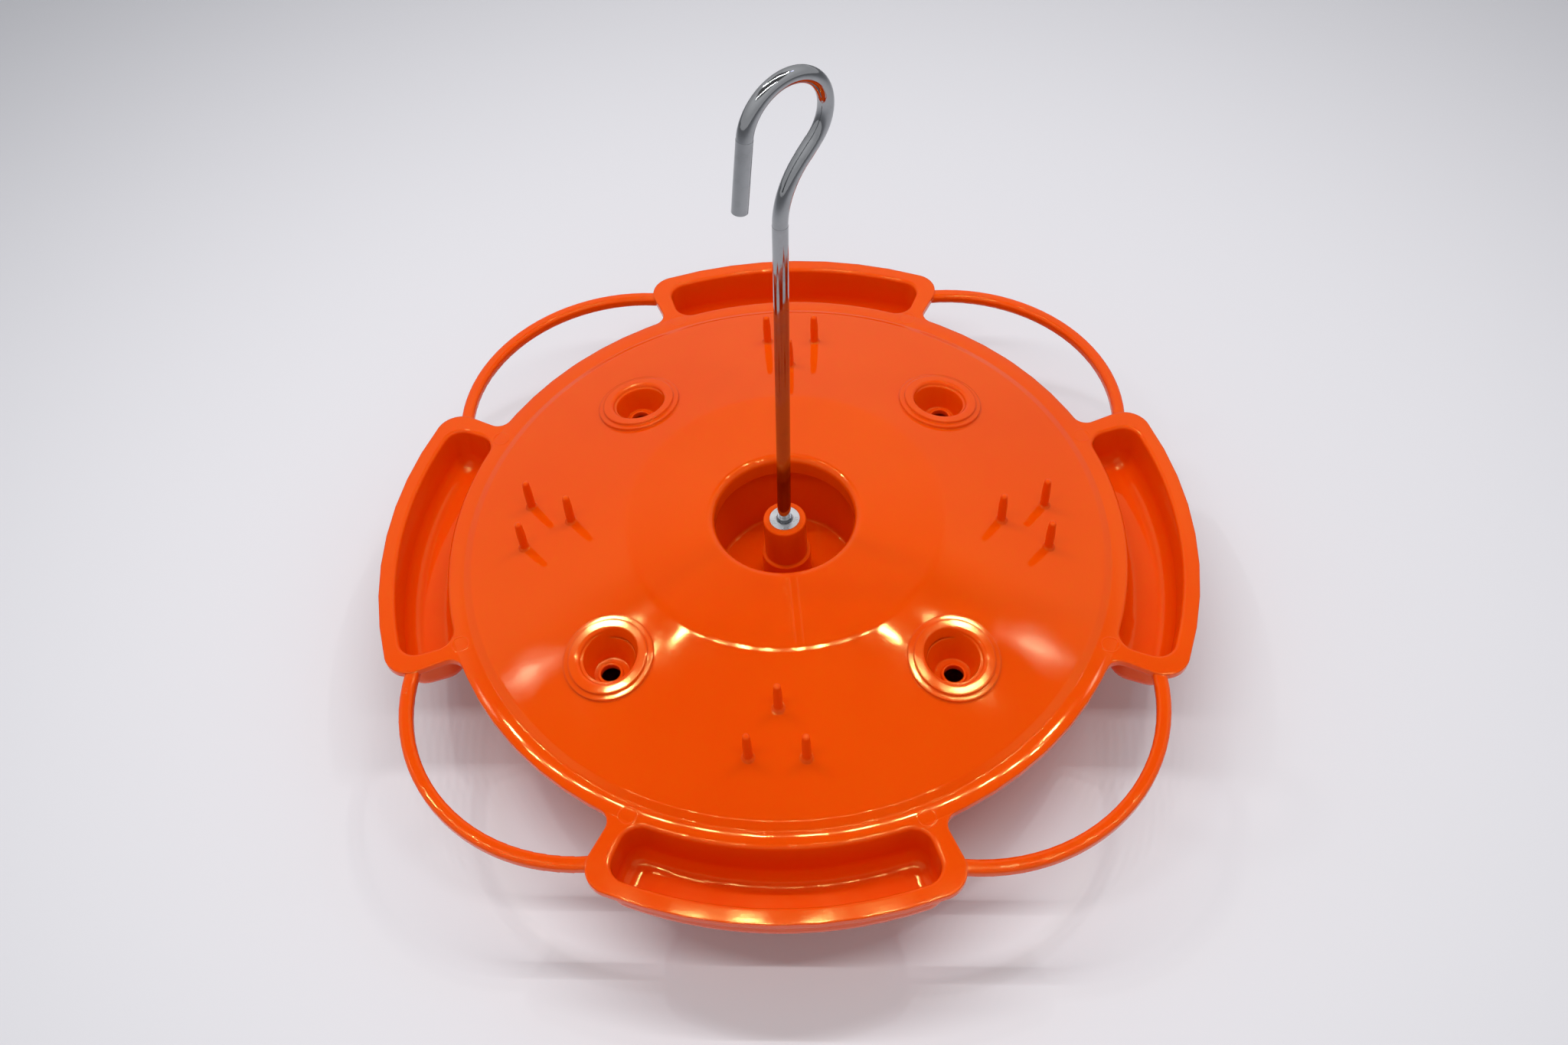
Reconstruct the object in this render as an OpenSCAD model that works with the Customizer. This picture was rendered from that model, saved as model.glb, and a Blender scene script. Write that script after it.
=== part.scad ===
// Hanging feeder for orioles: a nectar bowl with a built-in ant moat under a moulded cover.
// The cover has four feeding ports, four groups of fruit spikes, four jelly wells and four perches.
// A wire hook screws into a metal insert in the bowl's centre post.
// Millimetres, +Z up. The origin is the centre of the bowl's foot, on the surface it stands on.

/* [Overall] */
// Height of the middle of the cover's rim above the surface the bowl stands on
rim_z = 46; // [44:1:60]

/* [Cover] */
// Diameter of the cover's round rim
cover_d = 240; // [238:1:242]
// Thickness of the rim plate
plate_t = 2.6; // [2.2:0.1:3]
// Wall of the dome
dome_t = 2; // [1.6:0.1:2.4]
// Height of the dome's flat centre above the middle of the rim plate
dome_h = 14; // [12:0.5:18]
// Radius of the crest, where the flat centre turns into the slope
crest_r = 55.5; // [50:0.5:58]
// Radius of the slope's lower edge
slope_r = 111; // [110:0.5:112]
// Height of the slope's lower edge above the rim plate
slope_lip = 1.3; // [0.8:0.1:2]
// Width of the step from the slope down to the rim plate
step_w = 2.8; // [1.6:0.1:3.2]
// Radius of the rounding at the crest
crest_round = 14; // [6:1:20]

/* [Centre hole] */
// Diameter of the hole in the cover over the moat
hole_d = 49; // [47:0.5:52]
// Rounding of the hole's edge
hole_round = 2.6; // [1:0.2:2.8]
// Height of the collar under the hole, which drips into the moat
collar_h = 8; // [6:0.5:9]
// Wall of the collar
collar_t = 1.8; // [1.4:0.1:2.2]

/* [Jelly wells] */
// Radius of the wells' outer lip
lip_r = 143.4; // [142:0.2:146]
// Radius of a well's inner wall
well_r_in = 119.6; // [119:0.1:121]
// Radius of a well's outer wall, inside
well_r_out = 137.8; // [136:0.1:138.4]
// Half the angle between the middles of a well's rounded ends
well_a = 19.4; // [17:0.1:19.8]
// Rounding of a well's corners, in plan
well_round = 6.2; // [5:0.1:7]
// Rounding between a well's walls and its floor
well_foot = 5.5; // [3:0.5:5.5]
// Depth of a well below the top of the rim plate
well_depth = 19; // [14:0.5:21]
// Wall of a well
well_t = 2.2; // [1.6:0.1:2.2]
// Rounding of a well's upper edge
well_edge = 1.2; // [0.6:0.1:1.4]
// Half the angle between the two sides of a well's rim
pad_a = 25; // [24.5:0.5:26]
// Rounding of the outer corners of a well's rim, in plan
pad_round = 9; // [6:0.5:10]
// Rounding between the round rim and the side of a well's rim, in plan
web_round = 5; // [3:0.5:6]

/* [Perches] */
// Radius of a perch's curve, at the middle of the bar
perch_r = 62.5; // [61:0.5:64]
// Distance of a perch's centre from the cover's two middle planes
perch_c = 61.4; // [60.4:0.2:62.4]
// Width of a perch bar
perch_w = 4.6; // [4:0.2:6]
// Height of a perch bar
perch_h = 4.4; // [3.6:0.2:6]
// Depth of a perch's top below the top of the rim plate
perch_drop = 0.3; // [0.2:0.1:0.6]
// Rounding of the perch bar's edges
perch_edge = 1.4; // [0.8:0.2:1.6]
// Rounding between a perch and a well's rim, in plan
perch_root = 5; // [3:0.5:6]

/* [Feeding ports] */
// Distance of a port from the centre
port_at = 79.6; // [78:0.2:82]
// Radius of the raised disc around a port
port_disc_r = 15.3; // [14.5:0.1:16]
// Radius of the upper ring around a port
port_ring_r = 13.4; // [12.6:0.1:13.6]
// Height of each of the two low steps around a port
port_step = 0.9; // [0.6:0.1:1.2]
// Radius of the funnel at its mouth
mouth_r = 9.5; // [9:0.1:10]
// Rounding of the funnel's mouth
mouth_round = 1.4; // [0.8:0.2:1.8]
// Radius of the funnel at its floor
funnel_r = 5.9; // [5.7:0.1:7]
// Depth of the funnel's floor below the slope at the middle of the port
funnel_depth = 9.4; // [7:0.2:11]
// Wall of the funnel
funnel_t = 1.6; // [1.2:0.1:2]
// Radius of the narrow hole in the funnel's floor
sip_r = 3.3; // [2.6:0.1:3.5]
// Width and height of the raised lip around that hole
sip_lip = 0.9; // [0.6:0.1:1.1]
// Distance of that hole outward from the middle of the port
sip_out = 0.6; // [0:0.1:0.8]

/* [Fruit spikes] */
// Distance of a group's inner spike from the centre
spike_at = 75.2; // [74:0.2:78]
// Distance between the spikes of a group
spike_pitch = 18.3; // [16:0.1:20]
// Radius of a spike's straight part
spike_r = 1.5; // [1.3:0.05:1.8]
// Radius of a spike's blunt tip
spike_tip_r = 1.15; // [0.9:0.05:1.25]
// Height of a spike's straight part above the slope
spike_straight = 8; // [6:0.5:10]
// Height of the whole spike above the slope
spike_h = 13.5; // [12:0.5:18]

/* [Nectar bowl] */
// Wall of the bowl
bowl_t = 2.2; // [1.8:0.1:2.6]
// Radius of the bowl's rim, outside
bowl_r = 112.4; // [112:0.1:113]
// Radius that the bowl's wall would reach at the foot without its rounding
foot_r = 97; // [92:1:100]
// Rounding of the bowl's lower edge, outside
foot_round = 10; // [6:1:14]
// Height of the shallow recess under the bowl, inside its foot ring
foot_recess = 1; // [0.6:0.2:1.6]
// Width of the flat foot ring
foot_w = 5; // [4:0.5:8]
// Radius of the moat's floor
moat_r = 25; // [24:0.2:25.4]
// Height of the moat's floor above the surface the bowl stands on
moat_z = 25.4; // [20:0.2:28]
// Wall of the moat
moat_t = 2.2; // [1.8:0.1:2.8]
// Gap between the moat's wall and the cover's collar
moat_gap = 0.6; // [0.4:0.1:1]
// Clearance between the cover and the bowl's rim, on each side and above
seat_gap = 0.3; // [0.3:0.1:0.5]
// Depth of the cover's two rings that hold the bowl's rim
seat_h = 5; // [3:0.5:7]
// Wall of those rings
seat_t = 1.6; // [1.2:0.1:2]

/* [Centre post] */
// Radius of the post's top
post_r = 7.5; // [7.4:0.1:8.2]
// Radius of the post's thicker lower part
post_foot_r = 8.8; // [8.6:0.1:10]
// Height of the post's top above the middle of the rim plate
post_h = 11; // [8:0.5:13]
// Distance from the post's top down to its shoulder
post_shoulder = 18; // [15:0.5:22]
// Radius of the metal insert
insert_r = 5.25; // [5:0.05:5.6]
// Length of the metal insert
insert_h = 14; // [13:0.5:16]

/* [Hanging rod] */
// Diameter of the rod
rod_d = 4.7; // [4.4:0.1:5]
// Diameter of the threaded end
thread_d = 4; // [3.6:0.1:4.2]
// Length of the threaded end below the insert's face
thread_l = 11; // [8:0.5:11.5]
// Gap between the threaded end and the insert's bore, on the radius
thread_gap = 0.05; // [0.02:0.01:0.08]
// Diameter of the countersink in the insert's face
sink_d = 5.9; // [5.4:0.1:6.4]
// Height of the rod's shoulder above the insert's face
neck_h = 1.4; // [0.8:0.1:2]
// Lean of the rod from upright, in degrees towards +X
rod_lean = 1.7; // [0.2:0.1:2]
// Height of the start of the hook's bends above the middle of the rim plate
hook_z = 142; // [120:1:180]
// Direction of the hook's bends about the rod, in degrees from +X
hook_turn = 41; // [0:1:90]
// Radius of the first bend, away from the rod's line
bend_r = 26.5; // [20:0.5:28]
// Angle of the first bend, in degrees
bend_a = 46; // [36:1:48]
// Length of the straight between the two bends
bend_l = 5.1; // [3:0.1:6]
// Radius of the hook's round top
loop_r = 13.6; // [11:0.1:14]
// How far the hook's tail stays short of hanging straight down, in degrees
tail_a = 6.5; // [0:0.5:10]
// Length of the hook's straight tail
tail_l = 22; // [14:1:24]

/* [Hidden] */
$fn = 64;
ORANGE = [0.95, 0.36, 0.02];
STEEL = [0.78, 0.79, 0.81];
// Number of wells, perches, ports and spike groups
quarters = 4;
// Overlap of joined solids, and the overlap and the tiny setback of a bend where it runs into its neighbours
lap = 1;
bend_lap = 0.5;
bend_sink = 0.05;

plate_top = rim_z + plate_t / 2;
plate_low = rim_z - plate_t / 2;
cover_r = cover_d / 2;
dome_z = rim_z + dome_h;
crest_z = dome_z - 0.3;
slope_z = plate_top + slope_lip;
flat_r = slope_r + step_w + lap;
plate_end = cover_r - plate_t - lap;
slope_a = atan((crest_z - slope_z) / (slope_r - crest_r));
hole_r = hole_d / 2;
collar_r = hole_r + collar_t;
collar_z = dome_z - collar_h;

// Point at a distance of 1 from the middle, in direction a
function polar(a) = [cos(a), sin(a)];

// Height of the slope's surface at a radius
function slope_at(r) = crest_z - (r - crest_r) * tan(slope_a);

// Middles of a well's corner roundings, and its floor
well_c_in = well_r_in + well_round;
well_c_out = well_r_out - well_round;
well_floor = plate_top - well_depth;

// Places of a rim corner at a well, and of the rounding between the well's rim and the round rim
corner_at = lip_r - pad_round;
corner_turn = asin(pad_round / corner_at);
web_at = cover_r + web_round;
web_turn = asin(web_round / web_at);

// Middles of a perch's curve and of the rim corner next to its end
perch_mid = [perch_c, perch_c];
perch_corner = corner_at * polar(pad_a - corner_turn);

// Bowl, moat and post
bowl_top = plate_low - seat_gap;
bowl_in_r = bowl_r - bowl_t;
bowl_bend_z = bowl_top - seat_h - 2;
bowl_a = atan((bowl_r - foot_r) / bowl_bend_z);
floor_z = foot_recess + bowl_t;
foot_in_r = foot_r - foot_round - foot_w;
moat_top = dome_z - dome_t - hole_round - lap;
moat_top_r = collar_r + moat_gap;
tower_r = moat_top_r + moat_t;
core_r = insert_r;
post_top = rim_z + post_h;
shoulder_z = post_top - post_shoulder;
insert_z = post_top - insert_h;

// Fruit spikes: an equal-sided triangle whose single point faces the centre
spike_row = spike_at + spike_pitch * sin(60);
spike_place = [[spike_at, 0], [spike_row, -spike_pitch / 2], [spike_row, spike_pitch / 2]];

// Funnel of a port
port_z = slope_at(port_at);
mouth_z = port_z + 2 * port_step / cos(slope_a);
funnel_z = port_z - funnel_depth;
funnel_flare = (mouth_r - funnel_r) / (mouth_z - funnel_z);

// Threaded end and the hook
bore_r = thread_d / 2 + thread_gap;
neck_z = post_top + neck_h;
lean_r = 100;
lean_z = neck_z + lap + lean_r * sin(rod_lean);
straight_l = (rim_z + hook_z - lean_z) / cos(rod_lean);

// Points of a rounding of radius r at corner b, between the straights to a and to c
function corner_points(a, b, c, r) =
    let (u = (a - b) / norm(a - b), v = (c - b) / norm(c - b))
    let (half = acos(max(-1, min(1, u * v))) / 2)
    let (m = b + (u + v) / norm(u + v) * r / sin(half))
    let (from = b + u * r / tan(half) - m, to = b + v * r / tan(half) - m)
    let (a0 = atan2(from.y, from.x), turn = atan2(to.y, to.x) - a0)
    let (sweep = turn > 180 ? turn - 360 : turn < -180 ? turn + 360 : turn)
    let (steps = max(2, ceil(abs(sweep) / 11)))
    [for (i = [0:steps]) m + r * [cos(a0 + sweep * i / steps), sin(a0 + sweep * i / steps)]];

// Outline whose corners [x, y, r] are each rounded by their own radius, 0 for a sharp one
function rounded(p) = [
    for (i = [0:len(p) - 1])
        let (a = p[(i + len(p) - 1) % len(p)], b = p[i], c = p[(i + 1) % len(p)])
        each b.z == 0
            ? [[b.x, b.y]]
            : corner_points([a.x, a.y], [b.x, b.y], [c.x, c.y], b.z)
];

// Point where two circles cross, on the left of the line from p to q
function circles_cross(p, rp, q, rq) =
    let (d = norm(q - p), u = (q - p) / d, x = (d * d + rp * rp - rq * rq) / (2 * d))
    p + u * x + [-u.y, u.x] * sqrt(rp * rp - x * x);

// Copies a piece to each quarter of the cover
module each_quarter(from = 0) {
    for (i = [0:quarters - 1]) rotate([0, 0, from + i * 360 / quarters]) children();
}

// Dome, its collar and step, and the flat of the rim plate, as one turned shell
module dome_shell() {
    rotate_extrude($fn = 128) polygon(rounded([
        [hole_r, collar_z, 0],
        [hole_r, dome_z, hole_round],
        [crest_r, crest_z, crest_round],
        [slope_r, slope_z, 2],
        [slope_r + step_w, plate_top, 1],
        [plate_end, plate_top, 0],
        [plate_end, plate_low, 0],
        [slope_r + step_w - dome_t, plate_low, 0],
        [slope_r - dome_t / 2, slope_z - dome_t, 1],
        [crest_r, crest_z - dome_t, crest_round],
        [collar_r, dome_z - dome_t, 1],
        [collar_r, collar_z, 0]
    ]));
}

// Two rings under the rim plate that hold the bowl's rim between them
module seat_rings() {
    low = plate_low - seat_h;
    rotate_extrude($fn = 128) {
        translate([bowl_r + seat_gap, low]) square([seat_t, seat_h + lap]);
        translate([bowl_in_r - seat_gap - seat_t, low]) square([seat_t, slope_z - dome_t / 2 - low]);
    }
}

// Points of an arc about a middle, a step of at most 6 degrees apart
function arc_points(middle, r, from, to) =
    let (steps = max(1, ceil(abs(to - from) / 6)))
    [for (i = [0:steps]) middle + r * polar(from + (to - from) * i / steps)];

// Outline of the rim from the middle of a well to the middle of a perch
function rim_eighth() = [
    each arc_points([0, 0], lip_r, 0, pad_a - corner_turn),
    each arc_points(perch_corner, pad_round, pad_a - corner_turn + 3, pad_a + 90),
    each arc_points(web_at * polar(pad_a + web_turn), web_round, 270 + pad_a, 180 + pad_a + web_turn),
    each arc_points([0, 0], cover_r, pad_a + web_turn + 2, 44)
];

// Outline of the rim over one quarter, and over all of them
function rim_quarter() = let (p = rim_eighth(), n = len(p)) [
    each p,
    for (i = [n - 1:-1:1]) [p[i].y, p[i].x]
];
function rim_outline() = [
    for (i = [0:quarters - 1], p = rim_quarter()) let (a = i * 360 / quarters)
        [p.x * cos(a) - p.y * sin(a), p.x * sin(a) + p.y * cos(a)]
];

// Flat rim plate, from under the foot of the step out to the wells' lips
module rim_plate() {
    translate([0, 0, plate_low]) linear_extrude(plate_t) difference() {
        polygon(rim_outline());
        circle(flat_r, $fn = 128);
    }
}

// Half section of a well: a wall at distance r, with a rounding of radius f above its floor
module wall_section(r, f, low, top) {
    translate([0, low + f]) square([r, top - low - f]);
    translate([0, low]) square([r - f, f]);
    intersection() {
        translate([r - f, low + f]) circle(f);
        translate([r - f, low]) square([f, f]);
    }
}

// Extra section that rounds a well's upper edge
module lip_section(r) {
    polygon([
        [0, plate_top - well_edge],
        for (a = [0:22.5:67.5])
            [r + well_edge * (1 - cos(a)), plate_top - well_edge * (1 - sin(a))],
        [r + well_edge, plate_top + 0.1],
        [0, plate_top + 0.1]
    ]);
}

// Half section of a well's cavity or, grown by its wall, of its body
module well_half(g) {
    wall_section(well_round + g, well_foot + g, well_floor - g, g > 0 ? rim_z : plate_top);
    if (g == 0) lip_section(well_round);
}

// Cavity of a well or, grown by its wall, its body
module well_form(g) {
    low = well_floor - g;
    top = g > 0 ? rim_z : plate_top + 0.1;
    span = well_c_out - well_c_in;
    rotate([0, 0, -well_a]) rotate_extrude(angle = 2 * well_a, $fn = 128) {
        translate([well_c_in, low]) square([span, top - low]);
        translate([well_c_out, 0]) well_half(g);
        translate([well_c_in, 0]) mirror([1, 0]) well_half(g);
    }
    for (side = [0, 1]) mirror([0, side, 0]) rotate([0, 0, well_a]) {
        translate([well_c_out, 0, 0]) rotate_extrude(angle = 90) well_half(g);
        translate([well_c_in, 0, 0]) rotate([0, 0, 90]) rotate_extrude(angle = 90) well_half(g);
        translate([well_c_in, 0, 0]) rotate([90, 0, 90]) linear_extrude(span) well_half(g);
    }
}

// Section of a perch bar, its top a little below the rim plate's
module perch_section() {
    x = perch_w / 2 - perch_edge;
    z = perch_h - 2 * perch_edge;
    top = plate_top - perch_drop;
    translate([perch_r - perch_w / 2, top - perch_edge - z]) square([perch_w, z]);
    translate([perch_r - x, top - perch_h]) square([2 * x, perch_h]);
    for (side = [-1, 1], up = [perch_edge, perch_h - perch_edge])
        translate([perch_r + side * x, top - up]) circle(perch_edge);
}

// Curved perch between two wells, with the roundings where it meets their rims
module perch() {
    reach = perch_corner - perch_mid;
    end = atan2(reach.y, reach.x) - 2;
    translate([perch_c, perch_c, 0]) rotate([0, 0, end])
        rotate_extrude(angle = 90 - 2 * end, $fn = 128) perch_section();
    for (side = [0, 1]) mirror([side, -side, 0]) {
        perch_root_web(1);
        perch_root_web(-1);
    }
}

// Rounding on one side of a perch's end: out is 1 outside its curve and -1 inside it
module perch_root_web(out) {
    side_r = perch_r + out * (perch_w / 2 + perch_root);
    about = circles_cross(perch_corner, pad_round + perch_root, perch_mid, side_r);
    to_corner = perch_corner - about;
    to_perch = (perch_mid - about) * out;
    a = atan2(to_corner.y, to_corner.x);
    b = atan2(to_perch.y, to_perch.x);
    turn = b - a > 180 ? b - a - 360 : b - a < -180 ? b - a + 360 : b - a;
    translate([0, 0, plate_low + perch_drop]) linear_extrude(plate_t - 2.5 * perch_drop) polygon([
        each arc_points(about, perch_root, a, a + turn),
        about + (perch_root + perch_w / 2) * polar(b),
        perch_corner + pad_round / 2 * polar(pad_a + 90)
    ]);
}

// Raised rings around a port, square to the slope, and the funnel's wall
module port_body() {
    translate([port_at, 0, port_z]) rotate([0, slope_a, 0]) {
        translate([0, 0, -lap]) cylinder(r = port_disc_r, h = lap + port_step);
        cylinder(r = port_ring_r, h = 2 * port_step);
    }
    wall_h = funnel_depth + funnel_t - lap;
    translate([port_at, 0, funnel_z - funnel_t])
        cylinder(r1 = funnel_r + funnel_t, r2 = funnel_r + funnel_t + wall_h * funnel_flare, h = wall_h);
}

// Space inside a port's funnel, with its rounded mouth
module port_space() {
    h = mouth_z - funnel_z + 6;
    translate([port_at, 0, funnel_z])
        cylinder(r1 = funnel_r, r2 = funnel_r + h * funnel_flare, h = h);
    translate([port_at, 0, port_z]) rotate([0, slope_a, 0]) rotate_extrude()
        polygon([
            [0, 2 * port_step - mouth_round],
            for (a = [0:15:75])
                [mouth_r + mouth_round * (1 - cos(a)), 2 * port_step - mouth_round * (1 - sin(a))],
            [mouth_r + mouth_round, 2 * port_step + 0.1],
            [0, 2 * port_step + 0.1]
        ]);
}

// Blunt spike with a small foot
module spike() {
    rotate_extrude($fn = 32) polygon(rounded([
        [0, -lap, 0],
        [spike_r + 0.6, -lap, 0],
        [spike_r + 0.6, 0, 0],
        [spike_r, 0.9, 0],
        [spike_r, spike_straight, 0],
        [spike_tip_r, spike_h, spike_tip_r * 0.8],
        [0, spike_h, 0]
    ]));
}

module feeding_cover() {
    color(ORANGE) difference() {
        union() {
            difference() {
                union() {
                    dome_shell();
                    seat_rings();
                    rim_plate();
                    each_quarter() {
                        well_form(well_t);
                        perch();
                    }
                    each_quarter(45) port_body();
                }
                each_quarter() well_form(0);
                each_quarter(45) port_space();
            }
            each_quarter()
                for (p = spike_place) translate([p.x, p.y, slope_at(norm(p))]) spike();
            each_quarter(45) translate([port_at + sip_out, 0, funnel_z - lap])
                cylinder(r = sip_r + sip_lip, h = lap + sip_lip);
        }
        each_quarter(45) translate([port_at + sip_out, 0, funnel_z - funnel_t - lap])
            cylinder(r = sip_r, h = funnel_t + sip_lip + 2 * lap);
    }
}

module nectar_bowl() {
    slant = bowl_t / cos(bowl_a);
    color(ORANGE) rotate_extrude($fn = 128) polygon(rounded([
        [bowl_r, bowl_top, 0.8],
        [bowl_r, bowl_bend_z, 5],
        [foot_r, 0, foot_round],
        [foot_in_r, 0, 0],
        [foot_in_r, foot_recess, 0],
        [tower_r - moat_t, foot_recess, 0],
        [tower_r - moat_t, moat_z - moat_t, 2],
        [core_r, moat_z - moat_t, 1],
        [core_r, insert_z - moat_t, 0],
        [0, insert_z - moat_t, 0],
        [0, insert_z, 0],
        [insert_r, insert_z, 0],
        [insert_r, post_top, 0],
        [post_r, post_top, 0.8],
        [post_r, shoulder_z, 0],
        [post_foot_r, shoulder_z, 0.4],
        [post_foot_r, moat_z, 1.2],
        [moat_r, moat_z, 1.2],
        [moat_top_r, moat_top, 0.6],
        [tower_r, moat_top, 0.6],
        [tower_r, floor_z, 3],
        [foot_r + floor_z * tan(bowl_a) - slant, floor_z, foot_round],
        [bowl_in_r, bowl_bend_z + bowl_t * tan(bowl_a / 2), 5],
        [bowl_in_r, bowl_top, 0.8]
    ]));
}

module threaded_insert() {
    sink_h = sink_d / 2 - bore_r;
    color(STEEL) difference() {
        translate([0, 0, insert_z]) cylinder(r = insert_r, h = insert_h);
        translate([0, 0, post_top - thread_l - lap / 2]) cylinder(r = bore_r, h = thread_l + lap);
        translate([0, 0, post_top - sink_h]) cylinder(r1 = bore_r, r2 = sink_d / 2, h = sink_h);
    }
}

// Bent piece of rod: an arc of radius r through a degrees, turning towards +X
module rod_bend(r, a) {
    more = asin(bend_lap / r);
    translate([r, 0, 0]) rotate([90, 0, 0]) mirror([1, 0, 0]) rotate([0, 0, -more])
        rotate_extrude(angle = a + 2 * more, $fn = 96)
            translate([r, 0]) circle(rod_d / 2 - bend_sink);
}

// Moves what follows a bend to its far end
module after_bend(r, a) {
    translate([r * (1 - cos(a)), 0, r * sin(a)]) rotate([0, a, 0]) children();
}

// Threaded end, its chamfered shoulder and the upright start of the rod
module rod_foot() {
    chamfer = (rod_d - thread_d) / 2;
    translate([0, 0, post_top - thread_l]) cylinder(d = thread_d, h = thread_l + neck_h - chamfer);
    translate([0, 0, neck_z - chamfer]) cylinder(d1 = thread_d, d2 = rod_d, h = chamfer);
    translate([0, 0, neck_z]) cylinder(d = rod_d, h = lap);
}

module hanging_rod() {
    loop_a = bend_a + 180 - tail_a;
    color(STEEL) {
        rod_foot();
        translate([0, 0, neck_z + lap]) {
            rod_bend(lean_r, rod_lean);
            after_bend(lean_r, rod_lean) rotate([0, 0, hook_turn]) {
                cylinder(d = rod_d, h = straight_l);
                translate([0, 0, straight_l]) {
                    rod_bend(bend_r, bend_a);
                    after_bend(bend_r, bend_a) {
                        cylinder(d = rod_d, h = bend_l);
                        translate([0, 0, bend_l]) rotate([0, 0, 180]) {
                            rod_bend(loop_r, loop_a);
                            after_bend(loop_r, loop_a) cylinder(d = rod_d, h = tail_l);
                        }
                    }
                }
            }
        }
    }
}

feeding_cover();
nectar_bowl();
threaded_insert();
hanging_rod();
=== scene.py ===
"""Looks of the hanging oriole feeder: moulded orange plastic, a chromed hook and a threaded metal insert."""

import math

import bpy
from mathutils import Matrix, Vector

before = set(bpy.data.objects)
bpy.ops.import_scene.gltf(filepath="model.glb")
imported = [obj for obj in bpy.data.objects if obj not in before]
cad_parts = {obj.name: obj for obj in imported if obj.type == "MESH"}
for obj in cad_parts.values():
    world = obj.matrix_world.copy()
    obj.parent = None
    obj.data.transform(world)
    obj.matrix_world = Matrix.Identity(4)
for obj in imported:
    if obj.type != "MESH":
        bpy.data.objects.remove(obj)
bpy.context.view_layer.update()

# Places and sizes are in metres, in the frame's own coordinates, and angles in degrees.
# Camera, fitted to the feeder in the photograph
IMAGE_WIDTH = 2048
FOCAL_PIXELS = 1841.7
SENSOR_WIDTH_MM = 36.0
CAMERA_AT = Vector((0.02264, -0.30233, 0.44418))
CAMERA_YAW = 4.339
CAMERA_PITCH = 52.12
CAMERA_ROLL = -3.591
CAMERA_SEES = (0.01, 50.0)

# Colours are linear
ORANGE = (0.80, 0.074, 0.0006, 1)
ORANGE_DEEP = (0.77, 0.064, 0.0003, 1)
ORANGE_GLOSS = (1.0, 0.88, 0.26, 1)
CHROME = (0.35, 0.36, 0.37, 1)
ZINC = (0.72, 0.73, 0.75, 1)
DULL_SPOT = 0.7

# Plastic, which lets a little red light through
PLASTIC_IOR = 1.46
GLOW = 0.5
GLOW_DEPTH = 0.003
GLOW_RADIUS = (1.0, 0.15, 0.05)

# Floor, with painted shade that darkens it with the distance from a place near the feeder, where the painted
# light is brightest
FLOOR = (0.75, 0.745, 0.775, 1)
FLOOR_PAINTED_SHADE = (0.42, 0.43, 0.46, 1)
FLOOR_HALF_WIDTH = 6.0
FLOOR_ROUGHNESS = 0.6
PAINTED_LIGHT_CENTRE = (0.03, 0.05, 0.0)
BRIGHT_TO = 0.22
DARKEST_FROM = 0.85

# Lamps, all at one height above the floor, with their powers in watts
LAMP_HEIGHT = 0.857
ROW_COUNT = 14
ROW_WEST = -0.42
ROW_EAST = 0.35
BACK_ROW_AT = 0.174
BACK_ROW_POWER = 0.23
FRONT_ROW_AT = -0.235
FRONT_ROW_POWER = 0.18
ROW_LAMP_SIZE = (0.026, 0.010)
ROW_ENDS = {"end_west": (-0.435, 0.245), "end_east": (0.345, 0.245)}
ROW_END_SIZE = (0.030, 0.030)
ROW_END_POWER = 0.42
PATCHES = {"patch_west": (-0.571, 0.263), "patch_east": (0.490, 0.308)}
PATCH_SIZES = (0.026, 0.047, 0.070)
PATCH_POWER = 0.05
PATCH_LIGHT = (0.54, 0.54, 1.0)
WHITE_LIGHT = (1, 1, 1)
FEEDER_MIDDLE = (0, 0, 0.04)

# World, by the upward part of a direction, which is 0 at the horizon and 1 overhead
MIRRORED_LOW_TO = 0.3
WALLS_TO = 0.76
CEILING_FROM = 0.84
WALLS = (0.55, 0.55, 0.555, 1)
CEILING = (0.08, 0.08, 0.08, 1)
MIRRORED_LOW = (0.6, 0.6, 0.62, 1)
MIRRORED_WALLS = (0.85, 0.85, 0.87, 1)
MIRRORED_CEILING = (0.14, 0.14, 0.14, 1)

# Marks that the mould leaves on the cover
PIN_MARK_AT = (0.0460, 0.1087, 0.0)
PIN_MARK_R = 0.0029
PERCH_MARK_AT = (-0.1248, -0.0642, 0.0)
PERCH_MARK_R = 0.0013
MARK_WIDTH = 0.0004
SEAM_SLANT = 0.11
SEAM_LINES = (-0.00066, 0.00185)
SEAM_REACH = (-0.053, -0.029)
SEAM_FADE = 0.002

# Rounding that the light finds on the moulding's edges, and the slight fall of the rim towards its edge
EDGE_ROUND = 0.0009
EDGE_SAMPLES = 6
CROWN_FROM = 0.1140
CROWN_TO = 0.1198
CROWN_ROUND = 0.026


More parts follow.
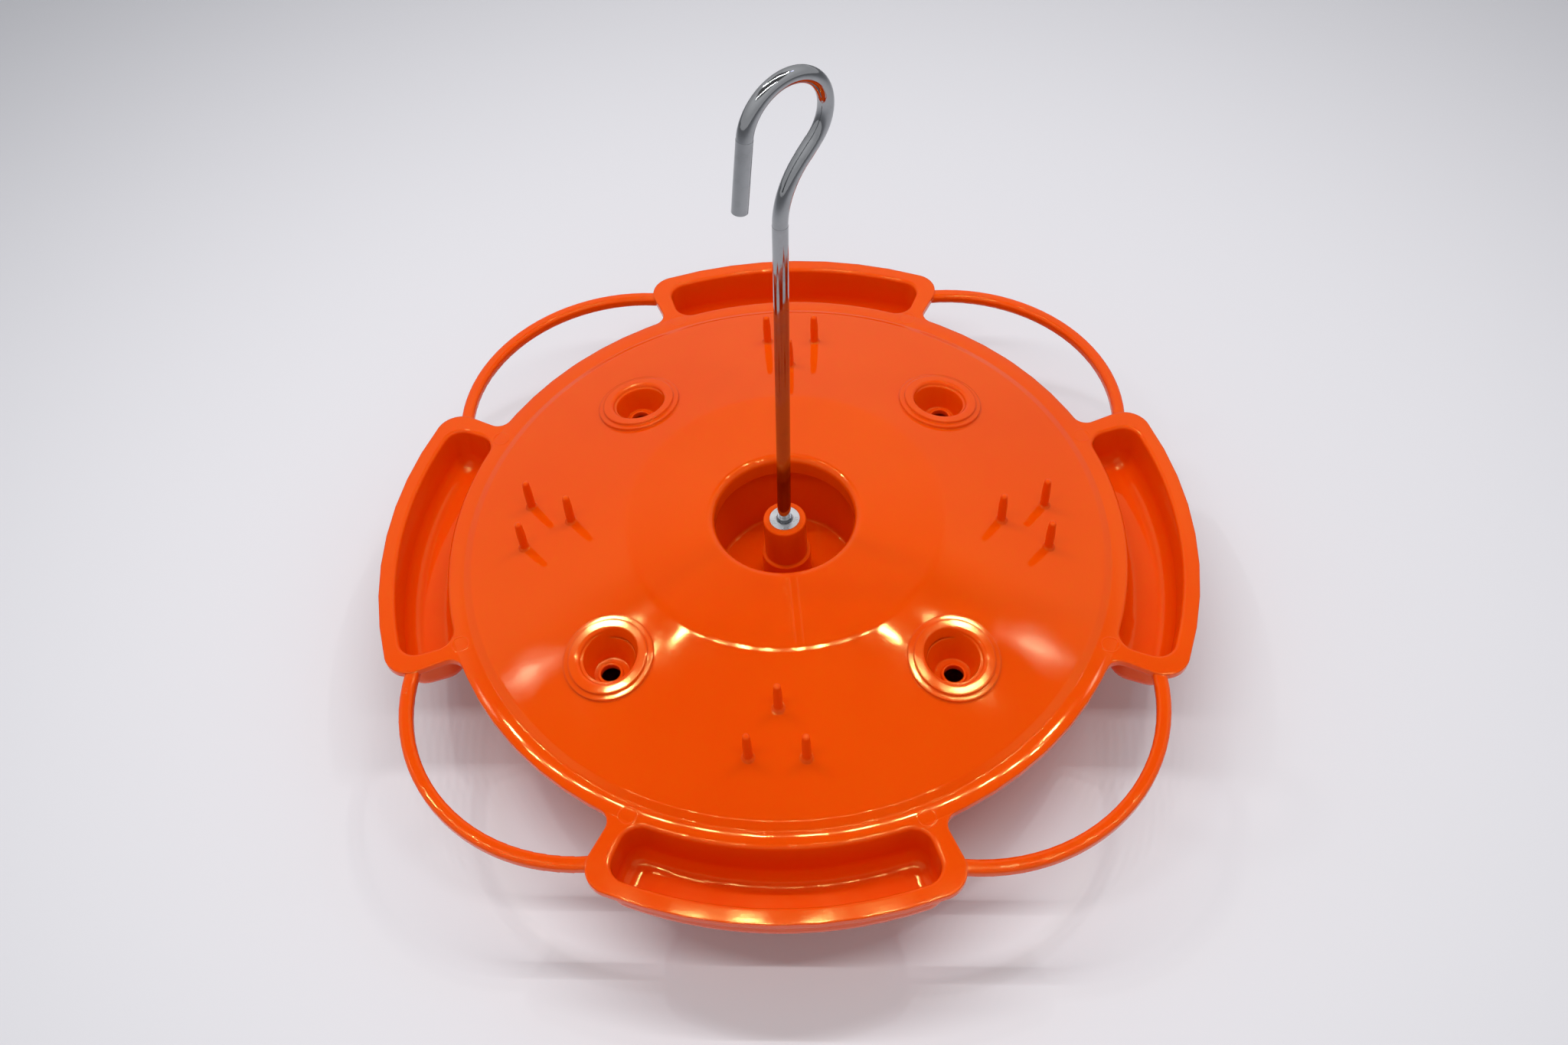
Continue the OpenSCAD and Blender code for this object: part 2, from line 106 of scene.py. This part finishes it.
class Nodes:
    """Short calls for making a material's or the world's nodes."""

    def __init__(self, tree):
        self.tree = tree
        tree.nodes.clear()

    def add(self, kind, **inputs):
        """Makes a node and fills its inputs, each by a value or by another node's output."""
        node = self.tree.nodes.new(kind)
        for name, value in inputs.items():
            self.put(node, name, value)
        return node

    def put(self, node, name, value):
        """Fills an input, named with _ for a space, or _ and its number where names repeat."""
        socket = node.inputs[int(name[1:])] if name[0] == "_" else node.inputs[name.replace("_", " ")]
        if isinstance(value, bpy.types.NodeSocket):
            self.tree.links.new(value, socket)
        else:
            socket.default_value = value

    def operate(self, kind, operation, *values):
        node = self.add(kind)
        node.operation = operation
        for i, value in enumerate(values):
            self.put(node, f"_{i}", value)
        return node

    def math(self, operation, *values):
        return self.operate("ShaderNodeMath", operation, *values).outputs[0]

    def vector_math(self, operation, output, *values):
        return self.operate("ShaderNodeVectorMath", operation, *values).outputs[output]

    def noise(self, at, scale, detail, roughness=0.5):
        node = self.add("ShaderNodeTexNoise", Vector=at, Scale=scale, Detail=detail, Roughness=roughness)
        return node.outputs["Fac"]

    def ramp(self, fac, *stops):
        """Colour ramp with stops (place, colour)."""
        node = self.add("ShaderNodeValToRGB", Fac=fac)
        elements = node.color_ramp.elements
        while len(elements) < len(stops):
            elements.new(0.5)
        for element, (place, colour) in zip(elements, stops):
            element.position = place
            element.color = colour
        return node.outputs["Color"]

    def span(self, fac, low, high, to_low, to_high):
        """Maps fac from low..high to to_low..to_high, smoothly and clamped."""
        node = self.add("ShaderNodeMapRange", Value=fac)
        node.interpolation_type = "SMOOTHSTEP"
        for i, value in enumerate((low, high, to_low, to_high)):
            node.inputs[i + 1].default_value = value
        return node.outputs["Result"]

    def blend(self, fac, a, b):
        """Mixes two colours. Inputs 6 and 7 of the node are its colours, and output 2 is their mix."""
        node = self.add("ShaderNodeMix")
        node.data_type = "RGBA"
        self.put(node, "_0", fac)
        self.put(node, "_6", a)
        self.put(node, "_7", b)
        return node.outputs[2]

    def bump(self, height, distance, strength=1.0, under=None):
        node = self.add("ShaderNodeBump", Height=height, Distance=distance, Strength=strength)
        if under is not None:
            self.put(node, "Normal", under)
        return node.outputs["Normal"]

    def surface(self, **inputs):
        """Makes the surface's shader and joins it to the material's output."""
        shader = self.add("ShaderNodeBsdfPrincipled", **inputs)
        self.add("ShaderNodeOutputMaterial", Surface=shader.outputs["BSDF"])


def new_material(name):
    material = bpy.data.materials.new(name)
    material.use_nodes = True
    return material, Nodes(material.node_tree)


def object_space(n):
    """Position in the frame's own coordinates, which moves with the piece."""
    return n.add("ShaderNodeTexCoord").outputs["Object"]


def from_above(n, at):
    """The place with its height left out."""
    return n.vector_math("MULTIPLY", "Vector", at, (1, 1, 0))


def ring_mark(n, at, centre, radius):
    """Height of a thin raised ring about a place, seen from above."""
    away = n.vector_math("DISTANCE", "Value", from_above(n, at), centre)
    off = n.math("ABSOLUTE", n.math("SUBTRACT", away, radius))
    return n.span(off, 0.0, MARK_WIDTH, 1.0, 0.0)


def folded(n, at):
    """The place turned and mirrored into one eighth of the cover, where x is the smaller of the two."""
    parts = n.add("ShaderNodeSeparateXYZ", Vector=at)
    x = n.math("ABSOLUTE", parts.outputs["X"])
    y = n.math("ABSOLUTE", parts.outputs["Y"])
    place = n.add("ShaderNodeCombineXYZ", X=n.math("MINIMUM", x, y), Y=n.math("MAXIMUM", x, y))
    return place.outputs["Vector"]


def rim_crown(n, at):
    """Height in metres of the rim, which falls away a little towards its edge."""
    out = n.vector_math("LENGTH", "Value", from_above(n, at))
    past = n.math("SUBTRACT", n.math("MINIMUM", out, CROWN_TO), CROWN_FROM)
    fall = n.math("POWER", n.math("MAXIMUM", past, 0.0), 2.0)
    return n.math("DIVIDE", fall, -2 * CROWN_ROUND)


def seam_mark(n, at):
    """Height of the two faint lines that run down from the hole to the crest on the camera's side."""
    parts = n.add("ShaderNodeSeparateXYZ", Vector=at)
    along = parts.outputs["Y"]
    across = n.math("MULTIPLY_ADD", along, SEAM_SLANT, parts.outputs["X"])
    offs = [n.math("ABSOLUTE", n.math("SUBTRACT", across, line)) for line in SEAM_LINES]
    lines = [n.span(off, 0.0, MARK_WIDTH, 1.0, 0.0) for off in offs]
    low, high = SEAM_REACH
    past_low = n.span(along, low - SEAM_FADE, low, 0.0, 1.0)
    short_of_high = n.span(along, high, high + SEAM_FADE, 1.0, 0.0)
    return n.math("MULTIPLY", n.math("MAXIMUM", *lines), n.math("MULTIPLY", past_low, short_of_high))


def mould_marks(n, at, normal):
    """The cover's surface with the fall of its rim, the rings of the mould's pins and the seam lines."""
    crowned = n.bump(rim_crown(n, at), 1.0, under=normal)
    pins = ring_mark(n, folded(n, at), PIN_MARK_AT, PIN_MARK_R)
    perch = ring_mark(n, at, PERCH_MARK_AT, PERCH_MARK_R)
    marks = n.math("MAXIMUM", n.math("MAXIMUM", pins, perch), seam_mark(n, at))
    return n.bump(marks, distance=0.0001, strength=0.6, under=crowned)


def plastic(name, gloss_level, marked=False):
    """Glossy moulded plastic with rounded edges, faint flow and sink marks, fine grain and slightly uneven
    gloss. The cover also has the marks of its mould."""
    material, n = new_material(name)
    at = object_space(n)
    tone = n.ramp(n.noise(at, scale=14.0, detail=2.0), (0.35, ORANGE_DEEP), (0.65, ORANGE))
    gloss = n.span(n.noise(at, scale=60.0, detail=4.0, roughness=0.6), 0.3, 0.7, 0.045, 0.075)
    edges = n.add("ShaderNodeBevel", Radius=EDGE_ROUND)
    edges.samples = EDGE_SAMPLES
    normal = edges.outputs["Normal"]
    normal = n.bump(n.noise(at, scale=26.0, detail=1.0), distance=0.0006, strength=0.12, under=normal)
    normal = n.bump(n.noise(at, scale=110.0, detail=1.0), distance=0.0002, strength=0.12, under=normal)
    if marked:
        normal = mould_marks(n, at, normal)
    grain = n.noise(at, scale=900.0, detail=3.0, roughness=0.6)
    normal = n.bump(grain, distance=0.00002, strength=0.25, under=normal)
    n.surface(
        Base_Color=tone,
        Roughness=gloss,
        Normal=normal,
        IOR=PLASTIC_IOR,
        Specular_IOR_Level=gloss_level,
        Specular_Tint=ORANGE_GLOSS,
        Subsurface_Weight=GLOW,
        Subsurface_Radius=GLOW_RADIUS,
        Subsurface_Scale=GLOW_DEPTH,
    )
    return material


def drawn_metal(name, colour, rough_low, rough_high):
    """Plated metal with fine marks along its length and small dull spots."""
    material, n = new_material(name)
    at = object_space(n)
    stretched = n.add("ShaderNodeMapping", Vector=at, Scale=(1, 1, 0.06))
    streaks = n.noise(stretched.outputs["Vector"], scale=1600.0, detail=3.0, roughness=0.6)
    spots = n.noise(at, scale=240.0, detail=4.0, roughness=0.65)
    dull = (*(DULL_SPOT * part for part in colour[:3]), 1)
    tone = n.blend(n.span(spots, 0.45, 0.75, 0.0, 0.35), colour, dull)
    rough = n.span(spots, 0.35, 0.7, rough_low, rough_high)
    marks = n.bump(streaks, distance=0.00003, strength=0.4)
    n.surface(Base_Color=tone, Roughness=rough, Normal=marks, Metallic=1.0)
    return material


def dress(node, material):
    """Gives a CAD node its finish."""
    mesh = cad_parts[node].data
    mesh.materials.clear()
    mesh.materials.append(material)


def make_camera():
    data = bpy.data.cameras.new("camera")
    data.sensor_width = SENSOR_WIDTH_MM
    data.lens = SENSOR_WIDTH_MM * FOCAL_PIXELS / IMAGE_WIDTH
    data.clip_start, data.clip_end = CAMERA_SEES
    camera = bpy.data.objects.new("camera", data)
    bpy.context.scene.collection.objects.link(camera)
    turn = (
        Matrix.Rotation(math.radians(CAMERA_YAW), 4, "Z")
        @ Matrix.Rotation(math.radians(90 - CAMERA_PITCH), 4, "X")
        @ Matrix.Rotation(math.radians(CAMERA_ROLL), 4, "Z")
    )
    camera.matrix_world = Matrix.Translation(CAMERA_AT) @ turn
    bpy.context.scene.camera = camera


def make_floor():
    """Plain pale floor, with painted shade that makes it a little darker far from the feeder as in the
    photograph.
    """
    half = FLOOR_HALF_WIDTH
    mesh = bpy.data.meshes.new("floor")
    corners = [(-half, -half, 0), (half, -half, 0), (half, half, 0), (-half, half, 0)]
    mesh.from_pydata(corners, [], [(0, 1, 2, 3)])
    floor = bpy.data.objects.new("floor", mesh)
    bpy.context.scene.collection.objects.link(floor)
    material, n = new_material("floor")
    # Painted shade: the floor's colour darkens with the distance from one place near the feeder, standing in
    # for light that falls off towards the corners.
    away = n.vector_math("DISTANCE", "Value", object_space(n), PAINTED_LIGHT_CENTRE)
    tone = n.blend(n.span(away, BRIGHT_TO, DARKEST_FROM, 0.0, 1.0), FLOOR, FLOOR_PAINTED_SHADE)
    n.surface(Base_Color=tone, Roughness=FLOOR_ROUGHNESS)
    mesh.materials.append(material)


def lamp(name, at, target, size, power, colour=WHITE_LIGHT):
    """Area lamp at a place, facing a target."""
    data = bpy.data.lights.new(name, "AREA")
    data.shape = "RECTANGLE"
    data.size, data.size_y = size
    data.energy = power
    data.color = colour
    lamp_object = bpy.data.objects.new(name, data)
    bpy.context.scene.collection.objects.link(lamp_object)
    turn = (Vector(target) - Vector(at)).to_track_quat("-Z", "Y").to_matrix().to_4x4()
    lamp_object.matrix_world = Matrix.Translation(at) @ turn


def lamp_row(name, y, power):
    """Row of small lamps that shine straight down, spaced evenly from west to east."""
    for i in range(ROW_COUNT):
        x = ROW_WEST + (ROW_EAST - ROW_WEST) * i / (ROW_COUNT - 1)
        lamp(f"{name}_{i}", (x, y, LAMP_HEIGHT), (x, y, 0), ROW_LAMP_SIZE, power)


def make_lamps():
    """Two rows of small lamps overhead, which the plastic mirrors as lines of dashes, and bright and soft
    patches beyond the back row's ends. A patch is several lamps of growing size, so that its edge is soft."""
    lamp_row("back_row", BACK_ROW_AT, BACK_ROW_POWER)
    lamp_row("front_row", FRONT_ROW_AT, FRONT_ROW_POWER)
    for name, place in ROW_ENDS.items():
        lamp(name, (*place, LAMP_HEIGHT), FEEDER_MIDDLE, ROW_END_SIZE, ROW_END_POWER)
    for name, place in PATCHES.items():
        at = (*place, LAMP_HEIGHT)
        for i, size in enumerate(PATCH_SIZES):
            lamp(f"{name}_{i}", at, FEEDER_MIDDLE, (size, size), PATCH_POWER, PATCH_LIGHT)


def make_world():
    """Pale walls all round below a dark ceiling, which glossy surfaces mirror a little brighter."""
    world = bpy.data.worlds.new("world")
    world.use_nodes = True
    bpy.context.scene.world = world
    n = Nodes(world.node_tree)
    direction = n.add("ShaderNodeTexCoord").outputs["Generated"]
    up = n.add("ShaderNodeSeparateXYZ", Vector=direction).outputs["Z"]
    sky = n.ramp(up, (0.0, WALLS), (WALLS_TO, WALLS), (CEILING_FROM, CEILING))
    mirrored = n.ramp(
        up,
        (MIRRORED_LOW_TO, MIRRORED_LOW),
        (WALLS_TO, MIRRORED_WALLS),
        (CEILING_FROM, MIRRORED_CEILING),
    )
    rays = n.add("ShaderNodeLightPath")
    colour = n.blend(rays.outputs["Is Glossy Ray"], sky, mirrored)
    colour = n.blend(rays.outputs["Is Camera Ray"], colour, FLOOR_PAINTED_SHADE)
    shader = n.add("ShaderNodeBackground", Color=colour, Strength=1.0)
    n.add("ShaderNodeOutputWorld", Surface=shader.outputs["Background"])


dress("feeding_cover", plastic("cover_plastic", 0.5, marked=True))
dress("nectar_bowl", plastic("bowl_plastic", 0.3))
dress("threaded_insert", drawn_metal("insert_metal", ZINC, 0.25, 0.4))
dress("hanging_rod", drawn_metal("rod_metal", CHROME, 0.03, 0.10))

make_floor()
make_camera()
make_lamps()
make_world()

view = bpy.context.scene.view_settings
view.view_transform = "Standard"
